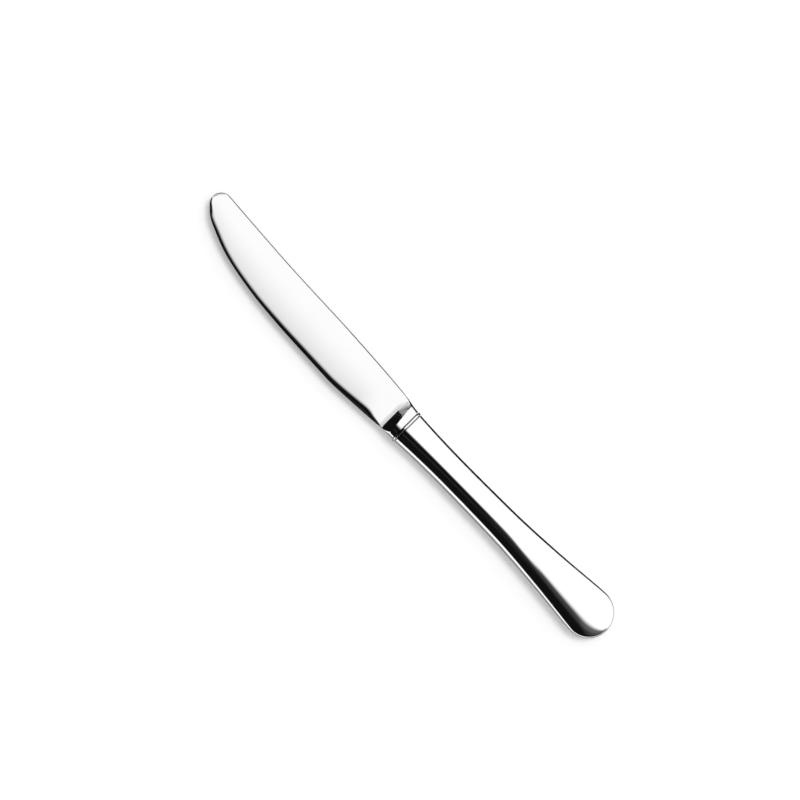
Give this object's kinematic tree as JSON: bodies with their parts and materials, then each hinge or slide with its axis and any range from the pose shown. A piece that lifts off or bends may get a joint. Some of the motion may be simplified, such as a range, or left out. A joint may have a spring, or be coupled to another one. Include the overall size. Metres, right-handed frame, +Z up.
{
  "type": "table knife",
  "caption": "Polished steel table knife with a rounded tip, a bevelled edge, a short bolster with a beaded collar and a hollow, flared handle with a rounded butt.",
  "frame": {"origin": "bottom centre of the knife's box, as it lies on its side", "axes": "+X along the handle towards the butt, +Y towards the spine of the blade, +Z up, out of the blade's upper flank"},
  "size_m": [0.235, 0.0248, 0.0096],
  "materials": {
    "blade_steel": "polished",
    "handle_steel": "polished",
    "cement": "matte"
  },
  "bodies": {
    "root": {"blade": "blade_steel", "collar": "handle_steel", "handle_front_shell": "handle_steel", "handle_back_shell": "handle_steel", "cement_core": "cement"}
  },
  "joints": []
}
